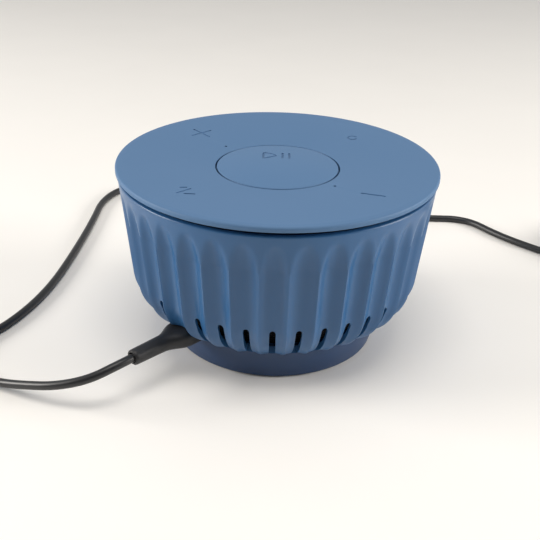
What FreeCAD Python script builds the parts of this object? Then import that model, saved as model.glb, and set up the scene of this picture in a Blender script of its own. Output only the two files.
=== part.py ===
"""A small round tabletop speaker: fluted bowl shell, rocking dished top plate, centre button,
a down-firing driver over a deflector, and its detachable power lead with the spare length coiled.

Frame: millimetres, +Z up, origin on the table at the centre of the foot; the front faces -Y.
"""
import FreeCAD, Part
import math
import os

import Sketcher

Vector = FreeCAD.Vector
UP = Vector(0, 0, 1)

DIMENSIONS = {
    # outside
    "plate_radius": 56.0, "total_height": 66.0, "plate_thickness": 1.9, "plate_dish": 1.7,
    "plate_edge": 0.8, "plate_gap": 1.6, "rim_radius": 55.7, "knee_radius": 51.9,
    "knee_height": 27.0, "bowl_arc": 18.6, "bowl_foot_radius": 40.1, "bowl_foot_height": 11.7,
    "shell_wall": 2.2, "flute_count": 36, "flute_tool_radius": 4.0, "flute_depth": 1.2,
    "flute_straight_top": 51.0, "flute_fade_radius": 20.0, "slot_width": 2.2,
    "slot_bottom": 13.2, "slot_top": 26.0, "ledge_radius": 49.5, "ledge_height": 2.0,
    # plinth and foot
    "plinth_base_radius": 37.1, "plinth_lift": 0.5, "plinth_floor": 3.0, "plinth_wall": 2.0,
    "spigot_rise": 2.5, "spigot_clearance": 0.3, "plinth_shoulder": 0.9,
    "foot_inner": 28.0, "foot_outer": 35.0, "foot_height": 1.5, "foot_clearance": 0.1,
    # top deck, rocker and button
    "deck_thickness": 2.0, "deck_drop": 6.1, "deck_clearance": 0.4, "deck_ring_wall": 2.0,
    "deck_ring_rise": 5.0,
    "gimbal_inner": 31.5, "gimbal_outer": 36.0, "gimbal_thickness": 0.8, "pivot_radius": 0.9,
    "pivot_clearance": 0.1, "button_radius": 21.0, "button_gap": 0.5, "button_crown": 1.8,
    "button_travel": 0.8, "plunger_radius": 2.0, "plunger_circle": 39.0,
    "hole_clearance": 0.5, "switch_gap": 0.7, "center_switch_gap": 1.0, "switch_height": 2.0,
    "hub_radius": 30.0, "mic_circle": 26.4, "mic_hole_radius": 0.5,
    # chassis and boards
    "chassis_floor": 29.0, "chassis_plate": 2.0, "chassis_radius": 46.0, "chassis_wall": 3.0,
    "driver_hole": 22.0, "post_radius": 3.0, "post_circle": 31.5, "standoff_radius": 2.5,
    "standoff_rise": 4.0, "standoff_circle": 36.0, "board_thickness": 1.6,
    "main_board_inner": 23.5, "main_board_outer": 41.5, "button_board_radius": 42.0,
    "button_board_drop": 5.4, "screw_radius": 0.95, "screw_head_radius": 1.8,
    "screw_head_height": 0.8, "screw_clearance": 0.1, "mesh_radius": 37.8,
    "mesh_thickness": 0.8, "deflector_radius": 19.0, "deflector_height": 7.5,
    # driver
    "flange_radius": 27.5, "flange_thickness": 1.6, "basket_radius": 17.0, "basket_height": 11.0,
    "basket_wall": 1.0, "cone_radius": 17.4, "coil_radius": 7.0, "coil_wall": 0.4,
    "magnet_radius": 14.0, "magnet_height": 4.0, "washer_height": 2.0, "coil_clearance": 0.5,
    # port and lead
    "port_angle": 42.0, "port_height": 15.0, "port_width": 12.6, "port_depth": 7.4,
    "socket_width": 9.0, "socket_height": 3.3, "socket_length": 8.4, "socket_wall": 0.25,
    "plug_start": 41.0, "plug_width": 11.6, "plug_thickness": 6.6, "plug_length": 13.0,
    "relief_length": 14.0, "relief_radius": 2.9, "cord_radius": 1.5, "coil_middle": 19.8,
    "coil_lift": 0.6, "coil_layers": 3, "tie_width": 7.0, "tie_thickness": 0.6,
}

# The lead's loose stretch after the strain relief: along the table round the left side, behind
# the speaker and out to the coil at the right.
CORD_ROUTE = [
    (-49.5, -55.0, 14.9), (-58.6, -59.0, 11.6), (-69.6, -57.8, 8.0), (-80.2, -53.6, 5.0),
    (-91.0, -48.6, 2.1), (-101.2, -43.6, 1.5), (-108.2, -35.0, 1.5), (-106.8, -23.2, 1.5),
    (-96.6, -5.0, 1.5),
    (-90.0, 20.0, 1.5), (-87.2, 52.0, 1.5), (-85.6, 86.0, 1.5), (-85.8, 113.0, 1.5),
    (-75.0, 131.0, 1.5), (-52.0, 134.5, 1.5), (-20.0, 126.0, 1.5), (14.0, 114.0, 1.5),
    (46.0, 103.5, 1.5), (70.0, 100.6, 1.5), (91.5, 101.4, 1.5), (103.2, 83.6, 1.5),
    (118.6, 68.8, 1.5), (135.4, 56.0, 1.5),
]
COIL_CENTRE = Vector(153.0, 72.0, 0.0)
CHARGER_PLUG_START = Vector(176.4, 82.5, 4.0)

document = FreeCAD.newDocument("Speaker")
sheet = document.addObject("Spreadsheet::Sheet", "Sizes")
nodes = []


class Size:
    """A length that keeps both its value and the sheet expression it comes from."""

    def __init__(self, value, text):
        self.value = value
        self.text = text

    def join(self, other, sign, value):
        return Size(value, f"({self.text} {sign} {other.text})")

    def __add__(self, other):
        other = plain(other)
        return self.join(other, "+", self.value + other.value)

    def __sub__(self, other):
        other = plain(other)
        return self.join(other, "-", self.value - other.value)

    def __mul__(self, other):
        other = plain(other)
        return self.join(other, "*", self.value * other.value)

    def __truediv__(self, other):
        other = plain(other)
        return self.join(other, "/", self.value / other.value)


def plain(number):
    """A bare number as a Size; a Size stays as it is."""
    return number if isinstance(number, Size) else Size(float(number), repr(float(number)))


def fill_sheet():
    for row, (alias, value) in enumerate(DIMENSIONS.items(), start=1):
        sheet.set(f"A{row}", alias)
        sheet.set(f"B{row}", str(value))
        sheet.setAlias(f"B{row}", alias)
    document.recompute()


def size(alias):
    return Size(float(getattr(sheet, alias)), f"Sizes.{alias}")


def at(alias):
    return float(getattr(sheet, alias))


def polar(radius, degrees, height=0.0):
    """A point at an angle counted from +X, anticlockwise seen from above."""
    turn = math.radians(degrees)
    return Vector(radius * math.cos(turn), radius * math.sin(turn), height)


def keep(feature):
    """Marks a feature as a sub-part, which is written to its own file."""
    nodes.append(feature)
    return feature


def arc_centre(start, end, radius, side):
    middle = (start + end) * 0.5
    chord = end - start
    reach = math.sqrt(radius ** 2 - (chord.Length / 2) ** 2)
    normal = Vector(-chord.y, chord.x, 0).normalize()
    return middle + normal * (reach * side)


def add_edge(sketch, start, end, arc):
    """Adds the line from start to end, or the arc given as (radius, side of its centre)."""
    if arc is None:
        return sketch.addGeometry(Part.LineSegment(start, end)), 1, 2
    radius, side = arc
    centre = arc_centre(start, end, radius.value, side)
    first = math.atan2(start.y - centre.y, start.x - centre.x)
    last = math.atan2(end.y - centre.y, end.x - centre.x)
    circle = Part.Circle(centre, UP, radius.value)
    if side > 0:
        return sketch.addGeometry(Part.ArcOfCircle(circle, first, last)), 1, 2
    return sketch.addGeometry(Part.ArcOfCircle(circle, last, first)), 2, 1


def pin_coordinate(sketch, kind, edge, end, value):
    """Binds one coordinate of an edge's end to its expression, or holds it on the axis."""
    if abs(value.value) < 1e-9:
        axis = -2 if kind == "DistanceX" else -1
        sketch.addConstraint(Sketcher.Constraint("PointOnObject", edge, end, axis))
        return
    index = sketch.addConstraint(Sketcher.Constraint(kind, -1, 1, edge, end, value.value))
    sketch.setExpression(f"Constraints[{index}]", value.text)


def lathe(label, outline):
    """A turned body: a closed outline of (radius, height) corners, revolved about Z.

    A third item in a corner makes the edge that leaves it an arc: (radius, side of its centre).
    """
    body = document.addObject("PartDesign::Body", f"{label}_body")
    plane = [item for item in body.Origin.OriginFeatures if item.Role == "XZ_Plane"][0]
    sketch = body.newObject("Sketcher::SketchObject", f"{label}_outline")
    sketch.AttachmentSupport = (plane, "")
    sketch.MapMode = "FlatFace"
    corners = [(plain(corner[0]), plain(corner[1])) for corner in outline]
    arcs = [corner[2] if len(corner) > 2 else None for corner in outline]
    points = [Vector(across.value, height.value, 0) for across, height in corners]
    edges = []
    for index, point in enumerate(points):
        edges.append(add_edge(sketch, point, points[(index + 1) % len(points)], arcs[index]))
    for index, (edge, start, end) in enumerate(edges):
        following, next_start, _ = edges[(index + 1) % len(edges)]
        sketch.addConstraint(Sketcher.Constraint("Coincident", edge, end, following, next_start))
    for (edge, start, _), (across, height), arc in zip(edges, corners, arcs):
        pin_coordinate(sketch, "DistanceX", edge, start, across)
        pin_coordinate(sketch, "DistanceY", edge, start, height)
        if arc is not None:
            row = sketch.addConstraint(Sketcher.Constraint("Radius", edge, arc[0].value))
            sketch.setExpression(f"Constraints[{row}]", arc[0].text)
    turned = body.newObject("PartDesign::Revolution", f"{label}_turned")
    turned.Profile = (sketch, [""])
    turned.ReferenceAxis = (sketch, ["V_Axis"])
    turned.Angle = 360
    body.Tip = turned
    body.Label = label
    document.recompute()
    return body


def solid(label, shape):
    """A sub-part or tool whose shape comes from Part's own functions."""
    feature = document.addObject("Part::Feature", label)
    feature.Shape = shape
    feature.Label = label
    return feature


def cut(label, base, tool):
    """The base with the tool's solids cut out of it."""
    base.Label = f"{label}_blank"
    feature = document.addObject("Part::Cut", label)
    feature.Base = base
    feature.Tool = solid(f"{label}_holes", tool)
    feature.Label = label
    document.recompute()
    return feature


def fuse(label, base, extra):
    """The base with solids that are moulded in one piece with it."""
    base.Label = f"{label}_core"
    feature = document.addObject("Part::Fuse", label)
    feature.Base = base
    feature.Tool = solid(f"{label}_bosses", extra)
    feature.Label = label
    document.recompute()
    return feature


def rod(radius, low, high, centre=Vector(0, 0, 0)):
    """An upright cylinder between two heights."""
    return Part.makeCylinder(radius, high - low, Vector(centre.x, centre.y, low))


def cuboid(width, near, far, low, high, degrees=0.0):
    """A box centred across X, from near to far along -Y, then turned about Z."""
    shape = Part.makeBox(width, far - near, high - low, Vector(-width / 2, -far, low))
    shape.rotate(Vector(0, 0, 0), UP, degrees)
    return shape


def group(shapes):
    return Part.makeCompound(shapes)


def ring_of(count, radius, first=0.0):
    """Points evenly spaced on a circle."""
    return [polar(radius, first + 360.0 * step / count) for step in range(count)]


def screws(label, places, head_low, head_high, tip):
    """Identical screws: a round head and a shank that ends at the tip's height."""
    shapes = []
    for place in places:
        head = rod(at("screw_head_radius"), head_low, head_high, place)
        low, high = min(tip, head_low), max(tip, head_high)
        shapes.append(head.fuse(rod(at("screw_radius"), low, high, place)).removeSplitter())
    return keep(solid(label, group(shapes)))


def shank_holes(places, low, high):
    radius = at("screw_radius") + at("screw_clearance")
    return [rod(radius, low, high, place) for place in places]


# Heights that several sub-parts share
def rim_height():
    return size("total_height") - size("plate_thickness") - size("plate_gap")


def plate_under():
    return size("total_height") - size("plate_thickness")


def hub_under():
    return plate_under() - size("plate_dish")


def deck_top():
    return size("total_height") - size("deck_drop")


def deck_low():
    return deck_top() - size("deck_thickness")


def spigot_top():
    return size("bowl_foot_height") + size("spigot_rise")


def spigot_radius():
    return size("bowl_foot_radius") - 1.4 - size("spigot_clearance")


def chassis_top():
    return size("chassis_floor") + size("chassis_plate")


def main_board_low():
    return chassis_top() + size("standoff_rise")


def button_board_top():
    return deck_low() - size("button_board_drop")


def port_turn():
    return -at("port_angle")


def base_places():
    return ring_of(3, at("post_circle"), 330.0 - at("port_angle"))


def deck_places():
    return ring_of(4, at("chassis_radius") - at("chassis_wall") / 2, 0.0)


def board_places():
    return ring_of(4, at("standoff_circle"), 0.0)


def plunger_places():
    return ring_of(4, at("plunger_circle"), 45.0)


def make_foot_ring():
    slack = size("foot_clearance")
    inner, outer = size("foot_inner") + slack, size("foot_outer") - slack
    keep(lathe("foot_ring", [(inner, 0), (outer, 0), (outer, size("foot_height")),
                             (inner, size("foot_height"))]))


def make_base_plinth():
    lift = size("plinth_lift")
    groove = size("foot_height")
    shoulder = spigot_radius() + size("plinth_shoulder") + size("spigot_clearance")
    inner = spigot_radius() - size("plinth_wall")
    blank = lathe("base_plinth", [
        (0, lift), (size("foot_inner"), lift), (size("foot_inner"), groove),
        (size("foot_outer"), groove), (size("foot_outer"), lift),
        (size("plinth_base_radius"), lift), (shoulder, size("bowl_foot_height")),
        (spigot_radius(), size("bowl_foot_height")), (spigot_radius(), spigot_top()),
        (inner, spigot_top()), (inner, size("plinth_floor")), (0, size("plinth_floor"))])
    board_low = at("port_height") - at("socket_height") / 2 - 1.2
    pedestal = cuboid(9.0, 28.5, inner.value + 0.5, at("plinth_floor") - 0.5, board_low, port_turn())
    whole = fuse("base_plinth_raised", blank, pedestal)
    notch = cuboid(at("port_width") + 1.6, 30.0, 45.0, at("bowl_foot_height"), 30.0, port_turn())
    notch = notch.cut(rod(inner.value, 0, board_low))
    head_low = at("foot_height")
    head_high = head_low + at("screw_head_height")
    tools = [notch] + shank_holes(base_places(), 0.0, at("plinth_floor") + 1)
    tools += [rod(at("screw_head_radius") + 0.2, 0.0, head_high, place) for place in base_places()]
    keep(cut("base_plinth", whole, tools[0].multiFuse(tools[1:])))
    screws("base_screws", base_places(), head_low, head_high, 12.0)


def make_deflector():
    floor = size("plinth_floor")
    keep(lathe("sound_deflector", [
        (0, floor), (size("deflector_radius"), floor), (size("deflector_radius"), floor + 0.8),
        (4.0, floor + size("deflector_height") - 1.0), (0, floor + size("deflector_height"))]))


def make_acoustic_mesh():
    inner = size("mesh_radius") - size("mesh_thickness")
    tube = lathe("acoustic_mesh", [
        (inner, spigot_top()), (size("mesh_radius"), spigot_top()),
        (size("mesh_radius"), size("chassis_floor")), (inner, size("chassis_floor"))])
    window = cuboid(at("port_width") + 1.6, 30.0, 45.0, 10.0,
                    at("port_height") + at("port_depth") / 2 + 1.0, port_turn())
    keep(cut("acoustic_mesh", tube, window))


def bowl_centre():
    """Centre of the bowl's arc, on the wall's inward normal at the knee."""
    knee = Vector(at("knee_radius"), 0, at("knee_height"))
    wall = Vector(at("rim_radius"), 0, rim_height().value) - knee
    inward = Vector(-wall.z, 0, wall.x).normalize()
    return knee + inward * at("bowl_arc")


def foot_of_arc(centre, radius, across):
    """Height at which an arc round centre reaches a distance from the axis, on its low side."""
    return centre.z - math.sqrt(radius ** 2 - (across - centre.x) ** 2)


def shell_wall_solid():
    """The plain bowl: straight tapered wall, round knee, flat foot ring and an inner ledge."""
    rim = Vector(at("rim_radius"), 0, rim_height().value)
    knee = Vector(at("knee_radius"), 0, at("knee_height"))
    centre = bowl_centre()
    outward = (knee - centre).normalize()
    foot = Vector(at("bowl_foot_radius"), 0, at("bowl_foot_height"))
    foot_inner = Vector(foot.x - 1.4, 0, foot.z)
    wall = at("shell_wall")
    turn = Vector(foot_inner.x, 0, foot_of_arc(centre, at("bowl_arc") - wall, foot_inner.x))
    low_angle = math.radians(-45)
    outer_mid = centre + Vector(math.cos(low_angle), 0, math.sin(low_angle)) * at("bowl_arc")
    inner_mid = centre + Vector(math.cos(low_angle), 0, math.sin(low_angle)) * (at("bowl_arc") - wall)
    outer_foot = Vector(foot.x, 0, foot_of_arc(centre, at("bowl_arc"), foot.x))
    inner_knee = knee - outward * wall
    inner_rim = rim - outward * wall
    ledge_top = deck_low().value
    ledge_low = ledge_top - at("ledge_height")
    along = (rim - knee).normalize()

    def wall_at(height):
        return inner_knee + along * ((height - inner_knee.z) / along.z)

    ease = 0.4
    rim_out = rim - along * ease
    rim_top = Vector(rim.x - ease, 0, rim.z)
    inner_top = Vector(inner_rim.x, 0, rim.z)
    corners = [rim_top, inner_top, wall_at(ledge_top), Vector(at("ledge_radius"), 0, ledge_top),
               Vector(at("ledge_radius"), 0, ledge_low), wall_at(ledge_low - 2.5), inner_knee]
    edges = [Part.LineSegment(a, b).toShape() for a, b in zip(corners, corners[1:])]
    edges.append(Part.Arc(inner_knee, inner_mid, turn).toShape())
    edges.append(Part.LineSegment(turn, foot_inner).toShape())
    edges.append(Part.LineSegment(foot_inner, foot).toShape())
    if outer_foot.distanceToPoint(foot) > 0.001:
        edges.append(Part.LineSegment(foot, outer_foot).toShape())
    edges.append(Part.Arc(outer_foot, outer_mid, knee).toShape())
    edges.append(Part.LineSegment(knee, rim_out).toShape())
    edges.append(Part.LineSegment(rim_out, rim_top).toShape())
    wire = Part.Wire(Part.__sortEdges__(edges))
    return Part.Face(wire).revolve(Vector(0, 0, 0), UP, 360)


def flute_tool():
    """A round bar that follows the wall from under the knee and lifts out of it near the rim."""
    knee = Vector(at("knee_radius"), 0, at("knee_height"))
    centre = bowl_centre()
    outward = (knee - centre).normalize()
    along = (Vector(at("rim_radius"), 0, rim_height().value) - knee).normalize()
    proud = at("flute_tool_radius") - at("flute_depth")
    start_angle = math.radians(-88)
    mid_angle = math.radians(-40)
    path_radius = at("bowl_arc") + proud
    start = centre + Vector(math.cos(start_angle), 0, math.sin(start_angle)) * path_radius
    middle = centre + Vector(math.cos(mid_angle), 0, math.sin(mid_angle)) * path_radius
    low = knee + outward * proud
    high = low + along * ((at("flute_straight_top") - low.z) / along.z)
    fade = at("flute_fade_radius")
    fade_centre = high + outward * fade
    bend = math.radians(30)
    fade_mid = fade_centre - outward * (fade * math.cos(bend / 2)) + along * (fade * math.sin(bend / 2))
    fade_end = fade_centre - outward * (fade * math.cos(bend)) + along * (fade * math.sin(bend))
    path = Part.Wire([Part.Arc(start, middle, low).toShape(), Part.LineSegment(low, high).toShape(),
                      Part.Arc(high, fade_mid, fade_end).toShape()])
    heading = path.Edges[0].tangentAt(path.Edges[0].FirstParameter)
    section = Part.Wire(Part.Circle(start, heading, at("flute_tool_radius")).toShape())
    return path.makePipeShell([section], True, False)


def slot_tool():
    """An upright slot with a round top, long enough to go through the wall."""
    half = at("slot_width") / 2
    top = at("slot_top") - half
    box = cuboid(2 * half, at("bowl_foot_radius") - 1.3, at("plate_radius"), at("slot_bottom"), top)
    arch = Part.makeCylinder(half, 20.0, Vector(0, -at("bowl_foot_radius") + 1.3, top), Vector(0, -1, 0))
    return box.fuse(arch)


def port_window():
    """The rounded opening that lets the lead's plug through the shell's lower edge."""
    high = at("port_height") + at("port_depth") / 2
    window = cuboid(at("port_width"), 36.0, 54.0, 0.0, high, 0.0)
    edges = [edge for edge in window.Edges
             if abs(edge.BoundBox.ZMin - high) < 0.01 and edge.BoundBox.YLength > 10]
    window = window.makeFillet(2.4, edges)
    window.rotate(Vector(0, 0, 0), UP, port_turn())
    return window


def make_body_shell():
    bowl = shell_wall_solid()
    pitch = 360.0 / at("flute_count")
    skipped = round(at("port_angle") / pitch)
    bar = flute_tool()
    bar.rotate(Vector(0, 0, 0), UP, -90)
    slot = slot_tool()
    tools = []
    for step in range(int(at("flute_count"))):
        flute = bar.copy()
        flute.rotate(Vector(0, 0, 0), UP, -pitch * step)
        tools.append(flute)
    fluted = bowl.cut(tools)
    openings = [port_window()]
    for step in range(int(at("flute_count"))):
        if step == skipped:
            continue
        opening = slot.copy()
        opening.rotate(Vector(0, 0, 0), UP, -pitch * step)
        openings.append(opening)
    keep(solid("body_shell", fluted.cut(openings)))


def make_chassis():
    outer, inner = size("chassis_radius"), size("chassis_radius") - size("chassis_wall")
    cup = lathe("chassis", [
        (size("driver_hole"), size("chassis_floor")), (outer, size("chassis_floor")),
        (outer, deck_low()), (inner, deck_low()), (inner, chassis_top()),
        (size("driver_hole"), chassis_top())])
    floor = at("chassis_floor")
    posts = [rod(at("post_radius"), at("plinth_floor"), floor + 0.5, place) for place in base_places()]
    standoffs = [rod(at("standoff_radius"), chassis_top().value - 0.5, main_board_low().value, place)
                 for place in board_places()]
    whole = fuse("chassis_moulded", cup, group(posts + standoffs))
    holes = shank_holes(base_places(), 0.0, 13.0)
    holes += shank_holes(board_places(), chassis_top().value + 0.6, main_board_low().value + 1)
    holes += shank_holes(deck_places(), deck_low().value - 7.0, deck_low().value + 1)
    holes += shank_holes(driver_places(), floor - 1, floor + 1.7)
    holes.append(cuboid(8.0, 28.7, 30.3, floor - 1, chassis_top().value + 1, port_turn()))
    keep(cut("chassis", whole, group(holes)))


def driver_places():
    return ring_of(4, at("flange_radius") - 2.0, 45.0)


def make_driver():
    seat = size("chassis_floor")
    under = seat - size("flange_thickness")
    top = seat + size("basket_height")
    wall = size("basket_wall")
    tube = size("basket_radius")
    frame = lathe("driver_basket", [
        (size("flange_radius"), under), (size("flange_radius"), seat),
        (size("driver_hole") - 0.4, seat), (tube, seat + 6.6), (tube, top), (9.2, top),
        (9.2, top - wall), (tube - wall, top - wall), (tube - wall, seat + 7.8),
        (14.2, seat + 7.8), (14.2, seat + 7.2), (tube - wall - 0.2, seat + 7.2),
        (20.6, seat), (20.9, under)])
    floor = at("chassis_floor")
    keep(cut("driver_basket", frame, group(shank_holes(driver_places(), floor - 3, floor + 1))))
    lip = under.value
    screws("driver_screws", driver_places(), lip - at("screw_head_height"), lip, floor + 1.6)
    rim, coil = size("cone_radius"), size("coil_radius")
    keep(lathe("driver_surround", [
        (23.4, under), (23.4, under - 0.5), (20.9, under - 0.5), (20.2, under - 1.4),
        (19.2, under - 1.7), (18.2, under - 1.4), (17.5, under - 0.5), (16.4, under - 0.5),
        (16.4, under - 0.1), (17.8, under - 0.1), (18.5, under - 0.9), (19.2, under - 1.2),
        (19.9, under - 0.9), (20.6, under)]))
    keep(lathe("driver_cone", [
        (16.4, under - 0.1), (rim, under - 0.1), (rim, under + 0.5), (coil + 0.6, seat + 6.4),
        (coil, seat + 6.4), (coil, seat + 5.6)]))
    keep(lathe("dust_cap", [
        (0, seat + 3.2, (plain(8.6), 1)), (coil - 0.2, seat + 5.5), (coil - 0.2, seat + 6.1),
        (0, seat + 3.8)]))
    keep(lathe("voice_coil", [
        (coil - size("coil_wall"), seat + 6.4), (coil, seat + 6.4), (coil, top + 2.4),
        (coil - size("coil_wall"), top + 2.4)]))
    keep(lathe("driver_spider", [
        (coil + 0.1, seat + 7.8), (tube - wall - 0.2, seat + 7.8),
        (tube - wall - 0.2, seat + 8.2), (coil + 0.1, seat + 8.2)]))
    washer_top = top + size("washer_height")
    magnet_top = washer_top + size("magnet_height")
    core = coil - size("coil_wall") - size("coil_clearance")
    keep(lathe("front_washer", [
        (coil + size("coil_clearance"), top), (size("magnet_radius"), top),
        (size("magnet_radius"), washer_top), (coil + size("coil_clearance"), washer_top)]))
    keep(lathe("ring_magnet", [
        (9.0, washer_top), (size("magnet_radius"), washer_top),
        (size("magnet_radius"), magnet_top), (9.0, magnet_top)]))
    keep(lathe("yoke", [
        (0, top), (core, top), (core, magnet_top), (size("magnet_radius"), magnet_top),
        (size("magnet_radius"), magnet_top + 2.0), (0, magnet_top + 2.0)]))


def make_main_board():
    low = main_board_low()
    board = lathe("main_board", [
        (size("main_board_inner"), low), (size("main_board_outer"), low),
        (size("main_board_outer"), low + size("board_thickness")),
        (size("main_board_inner"), low + size("board_thickness"))])
    keep(cut("main_board", board, group(shank_holes(board_places(), low.value - 1, low.value + 3))))
    top = low.value + at("board_thickness")
    screws("main_board_screws", board_places(), top, top + at("screw_head_height"),
           low.value - 3.2)
    keep(solid("processor_shield", cuboid(16.0, 25.0, 38.0, top, top + 2.4, 135.0)))
    keep(solid("amplifier_chip", cuboid(7.0, 27.0, 34.0, top, top + 1.2, 45.0)))
    cans = [rod(3.2, top, top + 7.0, polar(32.0, turn)) for turn in (112.0, 135.0, 158.0)]
    keep(solid("capacitors", group(cans)))
    reach = at("basket_radius")
    wires = []
    for offset in (-1.6, 1.6):
        wires.append(Part.makeCylinder(0.6, 10.0, Vector(reach + 0.05, offset, top + 0.6), Vector(1, 0, 0)))
    keep(solid("speaker_wires", group(wires)))
    board_under = button_board_top().value - at("board_thickness")
    keep(solid("board_ribbon", cuboid(12.0, 39.4, 39.7, top, board_under, 20.0)))
    board_top = at("port_height") - at("socket_height") / 2
    keep(solid("usb_ribbon", cuboid(6.0, 29.35, 29.65, board_top, low.value, port_turn())))


def make_button_board():
    top = button_board_top()
    low = top - size("board_thickness")
    board = lathe("button_board", [(0, low), (size("button_board_radius"), low),
                                   (size("button_board_radius"), top), (0, top)])
    keep(cut("button_board", board, group(shank_holes(board_places(), low.value - 1, top.value + 1))))
    screws("button_board_screws", board_places(), low.value - at("screw_head_height"), low.value,
           deck_low().value - 1.6)
    high = deck_low().value - 2.0
    low_face = top.value
    sides = []
    for place in plunger_places():
        case = Part.makeBox(6.0, 6.0, 2.8, Vector(-3.0, -3.0, low_face))
        case = case.fuse(rod(1.7, low_face + 2.0, high)).removeSplitter()
        case.rotate(Vector(0, 0, 0), UP, 45)
        case.translate(place)
        sides.append(case)
    keep(solid("side_switches", group(sides)))
    middle = Part.makeBox(6.0, 6.0, 2.8, Vector(-3.0, -3.0, low_face))
    keep(solid("center_switch", middle.fuse(rod(1.7, low_face + 2.0, high)).removeSplitter()))


def make_top_deck():
    wall_inner = bowl_wall_inside(deck_low().value)
    outer = plain(wall_inner - at("deck_clearance"))
    ring_top = deck_low() + size("deck_ring_rise")
    plate = lathe("top_deck", [
        (0, deck_low()), (outer, deck_low()), (outer, ring_top),
        (outer - size("deck_ring_wall"), ring_top), (outer - size("deck_ring_wall"), deck_top()),
        (0, deck_top())])
    standoffs = [rod(at("standoff_radius"), button_board_top().value, deck_low().value + 0.5, place)
                 for place in board_places()]
    bars = []
    middle = (at("gimbal_inner") + at("gimbal_outer")) / 2
    height = gimbal_low().value - at("pivot_clearance") - at("pivot_radius")
    for turn in (135.0, 315.0):
        bars.append(pivot_bar(middle, turn, height))
    whole = fuse("top_deck_moulded", plate, group(standoffs + bars))
    wide = at("plunger_radius") + at("hole_clearance")
    low, high = deck_low().value - 1, deck_top().value + 1
    holes = [rod(wide, low, high, place) for place in plunger_places()]
    holes.append(rod(wide + 0.5, low, high))
    holes += shank_holes(deck_places(), low, high)
    sink = at("screw_head_radius") + 0.2
    holes += [rod(sink, deck_top().value - at("screw_head_height"), high, place)
              for place in deck_places()]
    holes += shank_holes(board_places(), button_board_top().value - 1, deck_low().value - 1.4)
    cleaned = holes[0].multiFuse(holes[1:])
    keep(cut("top_deck", whole, cleaned))
    screws("deck_screws", deck_places(), deck_top().value - at("screw_head_height"),
           deck_top().value, deck_low().value - 6.5)


def bowl_wall_inside(height):
    """Inside radius of the shell's straight wall at a height."""
    knee = Vector(at("knee_radius"), 0, at("knee_height"))
    along = (Vector(at("rim_radius"), 0, rim_height().value) - knee).normalize()
    outward = Vector(along.z, 0, -along.x)
    inner_knee = knee - outward * at("shell_wall")
    return (inner_knee + along * ((height - inner_knee.z) / along.z)).x


def gimbal_low():
    return deck_top() + size("pivot_radius")


def pivot_bar(middle, turn, height):
    """A round bar on a diagonal, on which the gimbal ring or the plate rocks."""
    length = at("gimbal_outer") - at("gimbal_inner") - 0.6
    start = polar(middle - length / 2, turn, height)
    return Part.makeCylinder(at("pivot_radius"), length, start, polar(1.0, turn))


def make_gimbal_ring():
    low = gimbal_low()
    high = low + size("gimbal_thickness")
    keep(lathe("gimbal_ring", [(size("gimbal_inner"), low), (size("gimbal_outer"), low),
                               (size("gimbal_outer"), high), (size("gimbal_inner"), high)]))


def make_top_plate():
    hole = size("button_radius") + size("button_gap")
    top, edge = size("total_height"), size("plate_edge")
    blank = lathe("top_plate", [
        (hole, top - size("plate_dish")), (size("plate_radius") - 2.4, top),
        (size("plate_radius") - edge, top), (size("plate_radius"), top - edge),
        (size("plate_radius"), plate_under()), (size("plate_radius") - 3.0, plate_under()),
        (size("hub_radius"), hub_under()), (hole, hub_under())])
    bars = []
    middle = (at("gimbal_inner") + at("gimbal_outer")) / 2
    height = gimbal_low().value + at("gimbal_thickness") + at("pivot_clearance") + at("pivot_radius")
    for turn in (45.0, 225.0):
        bars.append(pivot_bar(middle, turn, height))
    tip = deck_low().value - at("switch_height") + at("switch_gap")
    pins = [rod(at("plunger_radius"), tip, plate_under().value - 0.4, place)
            for place in plunger_places()]
    whole = fuse("top_plate_moulded", blank, group(bars + pins))
    ports = [rod(at("mic_hole_radius"), hub_under().value - 1, at("total_height") + 1, place)
             for place in mic_places()]
    keep(cut("top_plate", whole, group(ports)))


def mic_places():
    return [polar(at("mic_circle"), 137.0), polar(at("mic_circle"), 317.0)]


def make_microphones():
    roof = hub_under().value
    seal, case = 0.3, 1.0
    seals = [rod(2.2, roof - seal, roof, place).cut(rod(0.6, roof - 1, roof + 1, place))
             for place in mic_places()]
    keep(solid("microphone_seals", group(seals)))
    cases = []
    for place in mic_places():
        box = Part.makeBox(4.6, 3.6, case, Vector(-2.3, -1.8, roof - seal - case))
        box.translate(place)
        cases.append(box)
    keep(solid("microphones", group(cases)))


def make_center_button():
    edge = size("button_radius")
    crown_top = size("total_height")
    shoulder = crown_top - size("button_crown")
    crown = (edge * edge + size("button_crown") * size("button_crown")) / (size("button_crown") * 2)
    lip_top = hub_under() - 0.2
    lip_low = lip_top - 0.9
    stem = size("plunger_radius")
    tip = deck_low() - size("switch_height") + size("center_switch_gap")
    boss = shoulder - 1.3
    keep(lathe("center_button", [
        (edge, shoulder, (crown, 1)), (0, crown_top), (0, tip), (stem, tip),
        (stem, shoulder + 0.1), (3.6, shoulder + 0.1), (3.6, boss), (6.6, boss),
        (6.6, shoulder - 0.1), (edge - 1.4, shoulder - 1.3), (edge - 1.4, lip_low),
        (edge + 1.4, lip_low), (edge + 1.4, lip_top), (edge, lip_top)]))
    keep(lathe("button_return_dome", [
        (5.6, deck_top()), (6.3, deck_top()), (4.9, boss), (4.2, boss)]))


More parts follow.
